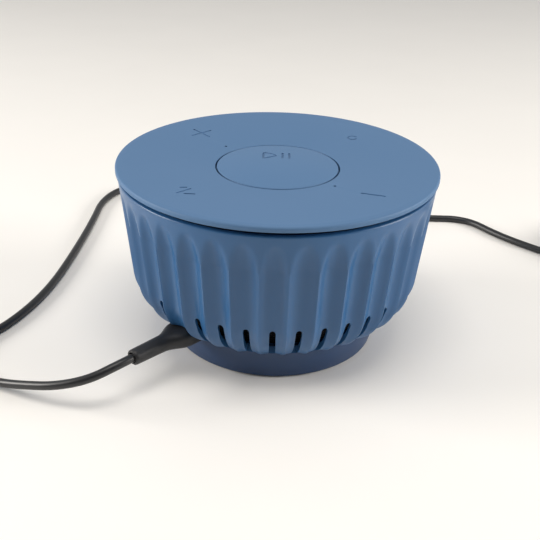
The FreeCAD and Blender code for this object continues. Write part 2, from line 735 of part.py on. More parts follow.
def make_usb_socket():
    low = at("port_height") - at("socket_height") / 2
    mouth = at("plug_start") - 0.6
    back = mouth - at("socket_length")
    keep(solid("usb_board", cuboid(11.0, 27.0, mouth - 1.8, low - 1.2, low, port_turn())))
    case = cuboid(at("socket_width"), back, mouth, low, low + at("socket_height"))
    upright = [edge for edge in case.Edges if edge.BoundBox.YLength > 5]
    case = case.makeFillet(1.2, upright)
    wall = at("socket_wall")
    mouth_space = cuboid(at("socket_width") - 2 * wall, back + 1.2, mouth + 1,
                         low + wall, low + at("socket_height") - wall)
    bore_edges = [edge for edge in mouth_space.Edges if edge.BoundBox.YLength > 5]
    case = case.cut(mouth_space.makeFillet(1.0, bore_edges))
    case.rotate(Vector(0, 0, 0), UP, port_turn())
    keep(solid("usb_socket", case))


def rounded_section(width, thickness, corner, distance, height):
    """A rounded rectangle facing -Y at a distance from the axis."""
    half_w, half_t = width / 2, thickness / 2
    box = Part.makeBox(width, 1.0, thickness, Vector(-half_w, -distance - 1.0, height - half_t))
    edges = [edge for edge in box.Edges if edge.BoundBox.YLength > 0.9]
    rounded = box.makeFillet(corner, edges)
    face = min(rounded.Faces, key=lambda item: item.CenterOfMass.y)
    wire = face.OuterWire.copy()
    wire.translate(Vector(0, 1.0, 0))
    return wire


def make_lead_plug():
    start, height = at("plug_start"), at("port_height")
    length = at("plug_length")
    wide, thick = at("plug_width"), at("plug_thickness")
    sections = [rounded_section(wide, thick, 2.2, start, height),
                rounded_section(wide, thick, 2.2, start + length * 0.55, height),
                rounded_section(wide * 0.72, thick * 0.97, 2.0, start + length, height)]
    grip = Part.makeLoft(sections, True, True)
    relief = Part.makeCylinder(at("relief_radius"), at("relief_length") + 1.0,
                               Vector(0, -start - length + 1.0, height), Vector(0, -1, 0))
    body = grip.fuse(relief).removeSplitter()
    body.rotate(Vector(0, 0, 0), UP, port_turn())
    keep(solid("usb_plug_body", body))
    shell = cuboid(8.3, start - 6.4, start, height - 1.2, height + 1.2)
    shell = shell.makeFillet(1.1, [edge for edge in shell.Edges if edge.BoundBox.YLength > 5])
    shell.rotate(Vector(0, 0, 0), UP, port_turn())
    keep(solid("usb_plug_shell", shell))


def relief_end():
    reach = at("plug_start") + at("plug_length") + at("relief_length")
    return Vector(0, -reach, at("port_height"))


def route_points():
    first = FreeCAD.Rotation(UP, port_turn()).multVec(relief_end())
    return [first] + [Vector(*point) for point in CORD_ROUTE]


def rounded_path(points):
    """Straight runs joined by tangent arcs, each as large as its two runs allow."""
    edges, radii = [], []
    here = points[0]
    for before, corner, after in zip(points, points[1:], points[2:]):
        back, ahead = (before - corner), (after - corner)
        reach = 0.45 * min(back.Length, ahead.Length)
        turn = math.pi - back.getAngle(ahead)
        radius = reach / math.tan(turn / 2)
        radii.append(radius)
        enter = corner + back.normalize() * reach
        leave = corner + ahead.normalize() * reach
        inward = ((enter + leave) * 0.5 - corner).normalize()
        middle = corner + inward * (radius / math.cos(turn / 2) - radius)
        edges.append(Part.LineSegment(here, enter).toShape())
        edges.append(Part.Arc(enter, middle, leave).toShape())
        here = leave
    edges.append(Part.LineSegment(here, points[-1]).toShape())
    return Part.Wire(edges), radii


def make_power_cord():
    path, radii = rounded_path(route_points())
    heading = path.Edges[0].tangentAt(path.Edges[0].FirstParameter)
    section = Part.Wire(Part.Circle(route_points()[0], heading, at("cord_radius")).toShape())
    tube = path.makePipeShell([section], True, False)
    expected = math.pi * at("cord_radius") ** 2 * path.Length
    print("cord length", round(path.Length, 1), "tube volume over section x length",
          round(tube.Volume / expected, 4))
    print("cord radii", [round(radius, 1) for radius in radii])
    keep(solid("power_cord", tube))


def coil_half():
    return at("coil_layers") * at("cord_radius")


def make_coil():
    middle, half = at("coil_middle"), coil_half()
    low, high = at("coil_lift"), at("coil_lift") + 2 * half
    ring = rod(middle + half, low, high).cut(rod(middle - half, low - 1, high + 1))
    ring = ring.makeFillet(at("cord_radius") * 0.9, [edge for edge in ring.Edges
                                                      if edge.Curve.TypeId == "Part::GeomCircle"])
    ring.translate(COIL_CENTRE)
    keep(solid("cord_coil", ring))
    band, wide = at("tie_thickness"), at("tie_width")
    outer = Part.makeBox(2 * half + 2 * band, wide, 2 * half + 2 * band,
                         Vector(middle - half - band, -wide / 2, low - band))
    slack = 0.05
    space = rod(middle + half + slack, low - slack, high + slack)
    tie = outer.cut(space.cut(rod(middle - half - slack, low - 1, high + 1)))
    tie.rotate(Vector(0, 0, 0), UP, 100)
    tie.translate(COIL_CENTRE)
    biggest = max(tie.Solids, key=lambda item: item.Volume)
    keep(solid("cord_tie", biggest))


def make_charger_plug():
    start = CHARGER_PLUG_START
    relief = Part.makeCone(2.4, 3.2, 9.0, start, Vector(0, 1, 0))
    grip = Part.makeBox(15.6, 20.0, 8.0, Vector(start.x - 7.8, start.y + 8.5, 0.0))
    grip = grip.makeFillet(1.6, grip.Edges)
    keep(solid("charger_plug_body", relief.fuse(grip).removeSplitter()))
    near = start.y + 28.5
    case = Part.makeBox(12.0, 12.0, 4.5, Vector(start.x - 6.0, near, 1.75))
    space = Part.makeBox(11.4, 12.0, 1.9, Vector(start.x - 5.7, near + 1.0, 4.05))
    keep(solid("charger_plug_shell", case.cut(space)))


def check_and_write():
    document.recompute()
    for feature in document.Objects:
        if "Invalid" in feature.State or "Error" in feature.State:
            raise RuntimeError(f"{feature.Label}: {feature.State}")
    os.makedirs("parts", exist_ok=True)
    for node in nodes:
        shape = node.Shape
        if shape.isNull() or not shape.isValid() or not shape.Solids:
            raise RuntimeError(f"{node.Label} has no valid solid")
        shape.exportStep(f"parts/{node.Label}.step")
        print(node.Label, len(shape.Solids), round(shape.Volume, 1))


fill_sheet()
make_foot_ring()
make_base_plinth()
make_deflector()
make_acoustic_mesh()
make_body_shell()
make_chassis()
make_driver()
make_main_board()
make_button_board()
make_top_deck()
make_gimbal_ring()
make_top_plate()
make_microphones()
make_center_button()
make_usb_socket()
make_lead_plug()
make_power_cord()
make_coil()
make_charger_plug()
check_and_write()
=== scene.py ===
"""Looks of a small round tabletop speaker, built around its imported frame. Metres, +Z up, front to -Y."""
import math

import bmesh
import bpy
import numpy as np
from mathutils import Matrix, Vector


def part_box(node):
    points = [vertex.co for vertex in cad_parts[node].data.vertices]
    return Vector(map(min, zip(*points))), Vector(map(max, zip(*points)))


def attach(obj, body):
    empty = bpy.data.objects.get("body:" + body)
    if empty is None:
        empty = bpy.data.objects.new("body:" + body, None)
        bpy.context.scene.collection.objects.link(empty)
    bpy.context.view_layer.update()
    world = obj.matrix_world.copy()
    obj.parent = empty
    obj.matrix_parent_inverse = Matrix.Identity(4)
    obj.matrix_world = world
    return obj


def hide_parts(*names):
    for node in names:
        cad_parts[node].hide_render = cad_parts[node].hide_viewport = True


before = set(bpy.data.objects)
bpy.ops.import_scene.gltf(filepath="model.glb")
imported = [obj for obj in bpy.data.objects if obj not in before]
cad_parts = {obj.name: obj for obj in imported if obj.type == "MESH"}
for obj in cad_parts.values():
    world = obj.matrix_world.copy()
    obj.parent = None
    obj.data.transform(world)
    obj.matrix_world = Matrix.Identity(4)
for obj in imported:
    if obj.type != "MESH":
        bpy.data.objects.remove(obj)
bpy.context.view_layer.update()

MM = 0.001

# Sizes read from the frame, in millimetres. The disc and the rim stand a little past the CAD's.
EDGE_SWELL, RIM_SWELL = 0.4, 0.05
PLATE_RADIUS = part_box("top_plate")[1].x / MM + EDGE_SWELL
TOTAL_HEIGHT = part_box("top_plate")[1].z / MM
RIM_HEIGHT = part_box("body_shell")[1].z / MM
RIM_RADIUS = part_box("body_shell")[1].x / MM + RIM_SWELL
BOWL_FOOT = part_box("body_shell")[0].z / MM

# The shell's outline
KNEE_RADIUS, KNEE_HEIGHT, BOWL_ARC = 51.9, 27.0, 18.6
BOWL_FOOT_RADIUS = 40.1
SHELL_SKIN, RIM_SKIN = 2.9, 1.0
FLUTES = 36
FLUTE_DEPTH = 2.2
FLUTE_TOP, FLUTE_FULL = 59.4, 49.0
SLOT_HALF = 1.1
SLOT_LOW, SLOT_HIGH = 12.35, 24.6
SLOT_ROWS = 15
RIM_ROLL = 0.6
PORT_ANGLE = 42.0
PORT_HEIGHT = 15.0
PLUG_START = 41.0

# The top
BUTTON_RADIUS, BUTTON_GAP, BUTTON_CROWN = 21.3, 0.6, 2.0
PLATE_DISH, PLATE_THICKNESS = 2.0, 1.9
PLATE_BEVEL = 2.4
ENGRAVING = 0.28
MIC_CIRCLE, MIC_RADIUS, MIC_DEPTH = 26.4, 0.55, 4.0
MIC_ANGLES = (137.0, 317.0)

# The lead, and its points from the strain relief to the coil
CORD_WIDTH = 3.0
ROUTE = [
    (-45.50, -50.53, 15.0),
    (-49.5, -55.0, 14.9), (-58.6, -59.0, 11.6), (-69.6, -57.8, 8.0), (-80.2, -53.6, 5.0),
    (-91.0, -48.6, 2.1), (-101.2, -43.6, 1.5), (-108.2, -35.0, 1.5), (-106.8, -23.2, 1.5),
    (-96.6, -5.0, 1.5),
    (-90.0, 20.0, 1.5), (-87.2, 52.0, 1.5), (-85.6, 86.0, 1.5), (-85.8, 113.0, 1.5),
    (-75.0, 131.0, 1.5), (-52.0, 134.5, 1.5), (-20.0, 126.0, 1.5), (14.0, 114.0, 1.5),
    (46.0, 103.5, 1.5), (70.0, 100.6, 1.5), (91.5, 101.4, 1.5), (103.2, 83.6, 1.5),
    (118.6, 68.8, 1.5), (135.4, 56.0, 1.5),
]
COIL_CENTRE = (153.0, 72.0)
COIL_START, COIL_END = 222.3, 360.0
COIL_MIDDLE, COIL_LIFT = 19.8, 0.6
# Turns in winding order: rings out from the middle one, and layers up from the lowest
COIL_ORDER = [(1, 0), (0, 0), (-1, 0), (-1, 1), (-1, 2), (0, 2), (0, 1), (1, 1), (1, 1)]
STRAP_WIDTH, STRAP_ANGLE = 7.0, 100.0
CHARGER_START = (176.4, 82.5, 4.0)


def linear(hex_colour):
    """An sRGB hex colour as linear RGBA."""
    values = [int(hex_colour[i:i + 2], 16) / 255 for i in (0, 2, 4)]
    return [v / 12.92 if v <= 0.04045 else ((v + 0.055) / 1.055) ** 2.4 for v in values] + [1.0]


# ---------------------------------------------------------------- meshes

def make_object(name, points, faces, smooth_angle=35.0):
    """A mesh object from millimetre points and faces, doubles merged and faces turned outwards."""
    mesh = bpy.data.meshes.new(name)
    mesh.from_pydata((np.asarray(points, float) * MM).tolist(), [], [tuple(f) for f in faces])
    work = bmesh.new()
    work.from_mesh(mesh)
    bmesh.ops.remove_doubles(work, verts=work.verts, dist=2e-7)
    bmesh.ops.dissolve_degenerate(work, edges=work.edges, dist=1e-7)
    bmesh.ops.recalc_face_normals(work, faces=work.faces)
    work.to_mesh(mesh)
    work.free()
    mesh.polygons.foreach_set("use_smooth", np.ones(len(mesh.polygons), bool))
    mesh.set_sharp_from_angle(angle=math.radians(smooth_angle))
    piece = bpy.data.objects.new(name, mesh)
    bpy.context.scene.collection.objects.link(piece)
    return piece


def grid_faces(rows, columns, wrap_rows, wrap_columns):
    """Quads of a rows x columns grid, each way open or closed on itself."""
    i = np.arange(rows if wrap_rows else rows - 1)
    j = np.arange(columns if wrap_columns else columns - 1)
    a, b = np.meshgrid(i, j, indexing="ij")
    c, d = (a + 1) % rows, (b + 1) % columns
    return np.stack([a * columns + b, a * columns + d, c * columns + d, c * columns + b], -1).reshape(-1, 4)


def rounded(corners, steps=5):
    """An outline of (x, y, fillet) corners with each fillet drawn as an arc.

    A corner with a fillet r becomes points on the circle of radius r tangent to both its sides.
    """
    corners = [tuple(c) + (0.0,) * (3 - len(c)) for c in corners]
    out = []
    for k, (x, y, fillet) in enumerate(corners):
        here = np.array([x, y])
        if fillet == 0.0 or k in (0, len(corners) - 1):
            out.append(here)
            continue
        back = np.array(corners[k - 1][:2]) - here
        ahead = np.array(corners[k + 1][:2]) - here
        back, ahead = back / np.linalg.norm(back), ahead / np.linalg.norm(ahead)
        half = math.acos(np.clip(back @ ahead, -1, 1)) / 2
        reach = fillet / math.tan(half)
        centre = here + (back + ahead) / np.linalg.norm(back + ahead) * fillet / math.sin(half)
        first, last = here + back * reach - centre, here + ahead * reach - centre
        spread = math.acos(np.clip(first @ last / fillet ** 2, -1, 1))
        for t in np.linspace(0, 1, steps):
            arm = math.sin((1 - t) * spread) * first + math.sin(t * spread) * last
            out.append(centre + arm / math.sin(spread))
    return np.array(out)


def turned(name, outline, segments=192, closed=True):
    """A lathe piece: the outline's (radius, height) points swept round Z, point = (r cos t, r sin t, z)."""
    outline = np.asarray(outline, float)
    angles = np.linspace(0, 2 * np.pi, segments, endpoint=False)
    ring = np.stack([np.cos(angles), np.sin(angles)], -1)
    heights = np.repeat(outline[:, None, 1:], segments, 1)
    points = np.concatenate([outline[:, None, :1] * ring[None], heights], -1)
    return make_object(name, points.reshape(-1, 3), grid_faces(len(outline), segments, closed, True))


def placed(outline, centre, degrees):
    """Flat points turned about the origin and then moved to a centre."""
    turn = math.radians(degrees)
    spin = np.array([[math.cos(turn), -math.sin(turn)], [math.sin(turn), math.cos(turn)]])
    return np.asarray(outline) @ spin.T + np.array(centre)


def cut_away(piece, cutter, smooth_angle=35.0):
    """Cuts the closed cutter out of the piece and removes the cutter."""
    modifier = piece.modifiers.new("cut", "BOOLEAN")
    modifier.operation = "DIFFERENCE"
    modifier.solver = "EXACT"
    modifier.object = cutter
    bpy.context.view_layer.update()
    ready = piece.evaluated_get(bpy.context.evaluated_depsgraph_get())
    mesh = bpy.data.meshes.new_from_object(ready)
    piece.modifiers.clear()
    piece.data = mesh
    bpy.data.objects.remove(cutter)
    mesh.polygons.foreach_set("use_smooth", np.ones(len(mesh.polygons), bool))
    mesh.set_sharp_from_angle(angle=math.radians(smooth_angle))


def finish_piece(piece, body, material, slot, *nodes):
    """Gives a piece its material, body and the CAD nodes it stands for. The slot argument is not used."""
    piece.data.materials.clear()
    piece.data.materials.append(material)
    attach(piece, body)
    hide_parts(*nodes)
    return piece


# ---------------------------------------------------------------- materials

def add(tree, kind, inputs=(), **settings):
    """Adds a shader node, sets its properties, and fills or links its inputs."""
    item = tree.nodes.new(kind)
    for key, value in settings.items():
        setattr(item, key, value)
    for key, value in dict(inputs).items():
        if isinstance(value, bpy.types.NodeSocket):
            tree.links.new(value, item.inputs[key])
        else:
            item.inputs[key].default_value = value
    return item


def start_material(name, roughness, metallic=0.0, **extra):
    """A new material with its Principled shader and the Object coordinates."""
    material = bpy.data.materials.new(name)
    material.use_nodes = True
    tree = material.node_tree
    shader = tree.nodes["Principled BSDF"]
    shader.inputs["Roughness"].default_value = roughness
    shader.inputs["Metallic"].default_value = metallic
    for key, value in extra.items():
        shader.inputs[key.replace("_", " ")].default_value = value
    return material, tree, shader, add(tree, "ShaderNodeTexCoord").outputs["Object"]


def soft_noise(tree, place, grain_mm, detail):
    """Smooth noise whose largest lumps are about the given size."""
    settings = {"Vector": place, "Scale": 1 / (grain_mm * MM), "Detail": detail}
    return add(tree, "ShaderNodeTexNoise", settings)


def blend_colours(tree, shader, factor, dark, light):
    """Base colour mixed from two shades by a factor."""
    blend = add(tree, "ShaderNodeMix", {"Factor": factor}, data_type="RGBA")
    shade_low, shade_high, result = blend.inputs[6], blend.inputs[7], blend.outputs[2]
    shade_low.default_value, shade_high.default_value = linear(dark), linear(light)
    tree.links.new(result, shader.inputs["Base Color"])


def raised(tree, shader, height, height_mm):
    """Bump from a height socket, its full rise given in millimetres."""
    bump = add(tree, "ShaderNodeBump", {"Height": height, "Distance": height_mm * MM})
    tree.links.new(bump.outputs["Normal"], shader.inputs["Normal"])


def mottled(tree, shader, place, dark, light, patch_mm, detail=3.0):
    """Colour that drifts between two close shades in soft patches."""
    noise = soft_noise(tree, place, patch_mm, detail)
    blend_colours(tree, shader, noise.outputs["Fac"], dark, light)


def grain(tree, shader, place, grain_mm, height_mm, detail=2.0):
    """Fine bumps of a moulded or cast skin."""
    noise = soft_noise(tree, place, grain_mm, detail)
    raised(tree, shader, noise.outputs["Fac"], height_mm)


def moulded_abs(name, dark, light, roughness):
    """Injection-moulded ABS from a spark-eroded tool: even satin sheen with a very fine grain."""
    material, tree, shader, place = start_material(name, roughness, IOR=1.5)
    mottled(tree, shader, place, dark, light, 22.0)
    grain(tree, shader, place, 0.45, 0.006)
    return material


def soft_touch_lacquer(name, dark, light):
    """Matt soft-touch lacquer over ABS: broad pale sheen, no sharp reflections."""
    material, tree, shader, place = start_material(name, 0.55, IOR=1.42)
    mottled(tree, shader, place, dark, light, 40.0, 2.0)
    grain(tree, shader, place, 0.35, 0.004)
    return material


def black_nylon(name, tone="0b0d12"):
    """Black glass-filled nylon: dark, dull, faintly grainy."""
    material, tree, shader, place = start_material(name, 0.55, IOR=1.53)
    mottled(tree, shader, place, tone, "14161b", 8.0)
    grain(tree, shader, place, 0.5, 0.01)
    return material


def pvc_jacket(name):
    """Extruded soft PVC: black with a satin line of light and a slight unevenness."""
    material, tree, shader, place = start_material(name, 0.38, IOR=1.54)
    mottled(tree, shader, place, "17181b", "202124", 9.0)
    grain(tree, shader, place, 0.9, 0.012)
    return material


def moulded_tpe(name):
    """Overmoulded TPE grip: charcoal, finely spark-textured, duller than the lead."""
    material, tree, shader, place = start_material(name, 0.5, IOR=1.5)
    mottled(tree, shader, place, "1a1b1e", "242528", 5.0)
    grain(tree, shader, place, 0.35, 0.014)
    return material


def silicone_rubber(name):
    """Compression-moulded silicone: matt black-grey with a dusty bloom."""
    material, tree, shader, place = start_material(name, 0.72, IOR=1.43)
    mottled(tree, shader, place, "1d1e21", "2a2b2e", 6.0)
    grain(tree, shader, place, 0.5, 0.01)
    return material


def bright_metal(name, tone, roughness, streak_mm=0.4):
    """Plated or rolled metal: the grain of rolling shows as fine streaks of gloss."""
    material, tree, shader, place = start_material(name, roughness, metallic=1.0)
    shader.inputs["Base Color"].default_value = linear(tone)
    stretch = 12.0
    stretched = add(tree, "ShaderNodeMapping", {"Vector": place, "Scale": (1.0, stretch, 1.0)})
    noise = soft_noise(tree, stretched.outputs["Vector"], streak_mm * stretch, 2.0)
    spread = add(tree, "ShaderNodeMapRange", {"Value": noise.outputs["Fac"], "To Min": roughness - 0.08,
                                              "To Max": roughness + 0.12})
    tree.links.new(spread.outputs["Result"], shader.inputs["Roughness"])
    return material


def woven_scrim(name, thread_mm=0.9):
    """Plain-woven acoustic scrim: black threads over and under, drawn coarse enough to show."""
    material, tree, shader, place = start_material(name, 0.85, Sheen_Weight=0.2)
    # a wave texture repeats every 0.314 / scale, so here about once a thread
    waves = {"Vector": place, "Scale": 0.32 / (thread_mm * MM)}
    across = add(tree, "ShaderNodeTexWave", waves, bands_direction="Z")
    along = add(tree, "ShaderNodeTexWave", waves, bands_direction="X")
    crossing = {0: across.outputs["Fac"], 1: along.outputs["Fac"]}
    both = add(tree, "ShaderNodeMath", crossing, operation="MULTIPLY")
    raised(tree, shader, both.outputs["Value"], 0.2)
    blend_colours(tree, shader, both.outputs["Value"], "050608", "1b1d22")
    return material


def solder_mask(name):
    """Circuit board under green solder mask: glossy film with faint track relief."""
    material, tree, shader, place = start_material(name, 0.25, IOR=1.5)
    tracks = add(tree, "ShaderNodeTexBrick", {"Vector": place, "Scale": 1 / (6.0 * MM), "Mortar Size": 0.03,
                                              "Color1": linear("0f4a2c"), "Color2": linear("0d4227"),
                                              "Mortar": linear("1c6b41")})
    tree.links.new(tracks.outputs["Color"], shader.inputs["Base Color"])
    raised(tree, shader, tracks.outputs["Fac"], 0.03)
    return material


def pressed_pulp(name):
    """Pressed paper-pulp cone: dull, dark and finely mottled."""
    material, tree, shader, place = start_material(name, 0.8)
    mottled(tree, shader, place, "17181a", "2b2c2e", 1.2, 6.0)
    grain(tree, shader, place, 0.6, 0.03, 6.0)
    return material


def flex_film(name):
    """Amber polyimide film of a flex lead: glossy, uneven in tone."""
    material, tree, shader, place = start_material(name, 0.22, IOR=1.7)
    mottled(tree, shader, place, "a8721e", "c08a2e", 3.0)
    grain(tree, shader, place, 1.2, 0.01)
    return material


SHELL_BLUE = moulded_abs("satin_abs_steel_blue", "2a5a89", "2f5f8e", 0.34)
# The plinth takes the shell's satin ABS in a darker tone: the darker tone is painted shade from the bowl's
# overhang.
PLINTH_SHADED_BLUE = moulded_abs("satin_abs_blue_painted_shade", "1f3a60", "233f65", 0.45)
PLATE_BLUE = soft_touch_lacquer("soft_touch_slate_blue", "4e7299", "53769d")
BUTTON_BLUE = soft_touch_lacquer("soft_touch_button_blue", "50749b", "55789f")
BLACK = black_nylon("black_glass_filled_nylon")
JACKET = pvc_jacket("satin_black_pvc")
GRIP = moulded_tpe("charcoal_moulded_tpe")
RUBBER = silicone_rubber("matt_black_silicone")
STEEL = bright_metal("nickel_plated_steel", "b9b8b4", 0.28)
BLACK_STEEL = bright_metal("black_oxide_steel", "2a2b2e", 0.4)
COPPER = bright_metal("enamelled_copper", "b4673a", 0.3, 0.2)
FERRITE = black_nylon("sintered_ferrite", "1c1d20")
SCRIM = woven_scrim("woven_acoustic_scrim")
BOARD = solder_mask("green_solder_mask")
EPOXY = black_nylon("moulded_epoxy_black", "121316")
PULP = pressed_pulp("pressed_paper_pulp")
FILM = flex_film("amber_polyimide_film")
NYLON = black_nylon("black_hook_and_loop_nylon", "101113")


# ---------------------------------------------------------------- camera, light and table

def make_camera():
    """Looks down at the front of the speaker from about 35 cm, level to within two degrees."""
    pitch, yaw, roll = math.radians(27.32), math.radians(-0.32), math.radians(1.63)
    ahead = Vector((math.sin(yaw) * math.cos(pitch), math.cos(yaw) * math.cos(pitch), -math.sin(pitch)))
    level = Vector((math.cos(yaw), -math.sin(yaw), 0.0))
    above = level.cross(ahead)
    right = level * math.cos(roll) + above * math.sin(roll)
    up = above * math.cos(roll) - level * math.sin(roll)
    data = bpy.data.cameras.new("view")
    data.sensor_width = 36.0
    data.lens = 60.0
    data.clip_start = 0.01
    camera = bpy.data.objects.new("view", data)
    axes = Matrix((right, up, -ahead)).transposed().to_4x4()
    camera.matrix_world = Matrix.Translation((0.0, -0.2976, 0.1765)) @ axes
    bpy.context.scene.collection.objects.link(camera)
    bpy.context.scene.camera = camera


def make_area_light(name, place, target, width, power):
    """A broad soft light with a slightly warm tone, turned to its target."""
    data = bpy.data.lights.new(name, "AREA")
    data.shape = "RECTANGLE"
    data.size = width
    data.size_y = width * 0.7
    data.energy = power
    data.color = linear("fffaf4")[:3]
    light = bpy.data.objects.new(name, data)
    light.location = place
    light.rotation_euler = (Vector(target) - Vector(place)).to_track_quat("-Z", "Y").to_euler()
    bpy.context.scene.collection.objects.link(light)


def make_room():
    """Soft surroundings, dim on the viewer's side and bright past the table, and three lights."""
    world = bpy.data.worlds.new("soft_room")
    world.use_nodes = True
    sky = world.node_tree.nodes["Background"]
    sky.inputs["Color"].default_value = linear("f6f6f6")
    place = add(world.node_tree, "ShaderNodeTexCoord").outputs["Generated"]
    parts = add(world.node_tree, "ShaderNodeSeparateXYZ", {"Vector": place})
    glow = add(world.node_tree, "ShaderNodeMapRange", {"Value": parts.outputs["Y"], "From Min": -0.75,
                                                       "From Max": 0.35, "To Min": 0.10, "To Max": 0.58})
    world.node_tree.links.new(glow.outputs["Result"], sky.inputs["Strength"])
    bpy.context.scene.world = world
    make_area_light("window_left", (-0.9, -0.02, 0.34), (0, 0, 0.03), 0.42, 7.2)
    make_area_light("window_right", (0.9, -0.06, 0.34), (0, 0, 0.03), 0.42, 6.6)
    make_area_light("ceiling", (0.0, -0.16, 0.8), (0, 0, 0.03), 0.45, 2.5)
    bpy.context.scene.view_settings.view_transform = "Standard"


def make_table():
    """A wide plain table top of pale laminate."""
    mesh = bpy.data.meshes.new("table")
    side = 6.0
    corners = [(-side, -side, 0), (side, -side, 0), (side, side, 0), (-side, side, 0)]
    mesh.from_pydata(corners, [], [(0, 1, 2, 3)])
    table = bpy.data.objects.new("table", mesh)
    bpy.context.scene.collection.objects.link(table)
    material, tree, shader, place = start_material("pale_laminate", 0.5)
    mottled(tree, shader, place, "f3f1ed", "f7f5f1", 60.0)
    mesh.materials.append(material)


# ---------------------------------------------------------------- the lead

def coil_points():
    """Turns of the put-away length: angle runs on at even steps, radius and height move track by track.

    The radius is a little over the track's own, because the spline runs inside its control points.
    """
    steps_per_turn = 14
    overshoot = 1.018
    tracks = [(COIL_MIDDLE + ring * CORD_WIDTH, COIL_LIFT + (layer + 0.5) * CORD_WIDTH)
              for ring, layer in COIL_ORDER]
    total = 360.0 * (len(tracks) - 1) + COIL_END - COIL_START
    count = int(total / 360 * steps_per_turn)
    points = []
    for k in range(1, count + 1):
        turned_by = total * k / count
        turn = turned_by / 360.0
        track = min(int(turn), len(tracks) - 2)
        blend = min(max((turn - track - 0.8) / 0.2, 0.0), 1.0)
        radius, height = [a + (b - a) * blend for a, b in zip(tracks[track], tracks[track + 1])]
        angle = math.radians(COIL_START + turned_by)
        points.append((COIL_CENTRE[0] + radius * overshoot * math.cos(angle),
                       COIL_CENTRE[1] + radius * overshoot * math.sin(angle), height))
    return points


def make_lead():
    """The round lead as one spline: the loose stretch, then the coil, then into the charger plug."""
    x, y, z = CHARGER_START
    points = ROUTE + coil_points() + [(x, y - 5.0, z + 0.8), (x, y + 1.0, z)]
    curve = bpy.data.curves.new("power_lead", "CURVE")
    curve.dimensions = "3D"
    curve.bevel_depth = CORD_WIDTH / 2 * MM
    curve.bevel_resolution = 5
    curve.resolution_u = 8
    curve.use_fill_caps = True
    spline = curve.splines.new("NURBS")
    spline.points.add(len(points) - 1)
    places = np.column_stack([np.array(points) * MM, np.ones(len(points))])
    spline.points.foreach_set("co", places.ravel())
    spline.order_u = 3
    spline.use_endpoint_u = True
    lead = bpy.data.objects.new("power_lead", curve)
    bpy.context.scene.collection.objects.link(lead)
    return finish_piece(lead, "speaker_base", JACKET, "lead_black", "power_cord", "cord_coil")


def superellipse(half_wide, half_thick, power, count=48):
    """Points of |x/a|^p + |y/b|^p = 1, evenly spaced in angle."""
    t = np.linspace(0, 2 * np.pi, count, endpoint=False)
    c, s = np.cos(t), np.sin(t)
    return np.stack([half_wide * np.sign(c) * np.abs(c) ** (2 / power),
                     half_thick * np.sign(s) * np.abs(s) ** (2 / power)], -1)


def lofted(name, sections, start, ahead):
    """A closed skin through sections of (distance, half width, half thickness, power) along a direction."""
    ahead = np.array(ahead, float)
    side = np.array([-ahead[1], ahead[0], 0.0])
    above = np.array([0.0, 0.0, 1.0])
    rings = []
    for distance, half_wide, half_thick, power in sections:
        flat = superellipse(half_wide, half_thick, power)
        rings.append(np.array(start) + ahead * distance + flat[:, :1] * side + flat[:, 1:] * above)
    faces = grid_faces(len(rings), len(rings[0]), False, True)
    return make_object(name, np.concatenate(rings), faces, 40.0)


def port_point(distance, height):
    """A point on the port's line at a distance from the axis, and the line's direction."""
    turn = math.radians(PORT_ANGLE)
    ahead = (-math.sin(turn), -math.cos(turn), 0.0)
    return (ahead[0] * distance, ahead[1] * distance, height), ahead


def make_usb_plug():
    """Overmould of the USB-C plug: flat grip, drawn-in shoulders and a round strain relief."""
    start, ahead = port_point(PLUG_START, PORT_HEIGHT)
    face = [(0.0, 0.01, 0.01, 2.0), (0.0, 4.9, 2.5, 3.6), (0.15, 5.4, 3.0, 3.6), (0.5, 5.75, 3.26, 3.4)]
    grip = [(3.0, 5.8, 3.3, 3.3), (6.2, 5.8, 3.3, 3.2), (7.6, 5.6, 3.3, 3.0), (9.0, 5.1, 3.27, 2.7),
            (10.4, 4.4, 3.2, 2.4), (11.6, 3.8, 3.12, 2.2), (12.8, 3.3, 3.05, 2.05)]
    relief = [(14.0, 3.0, 2.95, 2.0), (15.5, 2.9, 2.9, 2.0), (26.0, 2.72, 2.72, 2.0),
              (26.7, 2.62, 2.62, 2.0), (27.0, 2.35, 2.35, 2.0)]
    mouth = [(27.0, 1.9, 1.9, 2.0), (26.2, 1.82, 1.82, 2.0), (26.2, 0.01, 0.01, 2.0)]
    sections = face + grip + relief + mouth
    plug = lofted("usb_plug_grip", sections, start, ahead)
    return finish_piece(plug, "speaker_base", GRIP, "lead_black", "usb_plug_body")


def make_charger_plug():
    """Overmould of the USB-A plug: a ribbed strain relief and a block grip with a finger dip."""
    sections = [(0.0, 0.01, 0.01, 2.0), (0.0, 2.2, 2.2, 2.0)]
    for rib in range(4):
        base = 0.6 + rib * 2.0
        wide = 2.5 + rib * 0.2
        for along, wider in ((0.0, 0.0), (1.1, 0.05), (1.25, -0.35), (1.85, -0.3)):
            sections.append((base + along, wide + wider, wide + wider, 2.0))
    sections += [(8.5, 6.6, 3.2, 3.5), (8.9, 7.4, 3.75, 4.0), (9.8, 7.8, 3.98, 4.5),
                 (14.0, 7.8, 3.98, 4.5), (18.5, 7.6, 3.7, 4.5), (23.0, 7.8, 3.98, 4.5),
                 (27.4, 7.8, 3.98, 4.5), (28.2, 7.5, 3.8, 4.2), (28.5, 7.0, 3.4, 4.0),
                 (28.5, 0.01, 0.01, 2.0)]
    plug = lofted("charger_plug_grip", sections, CHARGER_START, (0.0, 1.0, 0.0))
    return finish_piece(plug, "speaker_base", GRIP, "lead_black", "charger_plug_body")


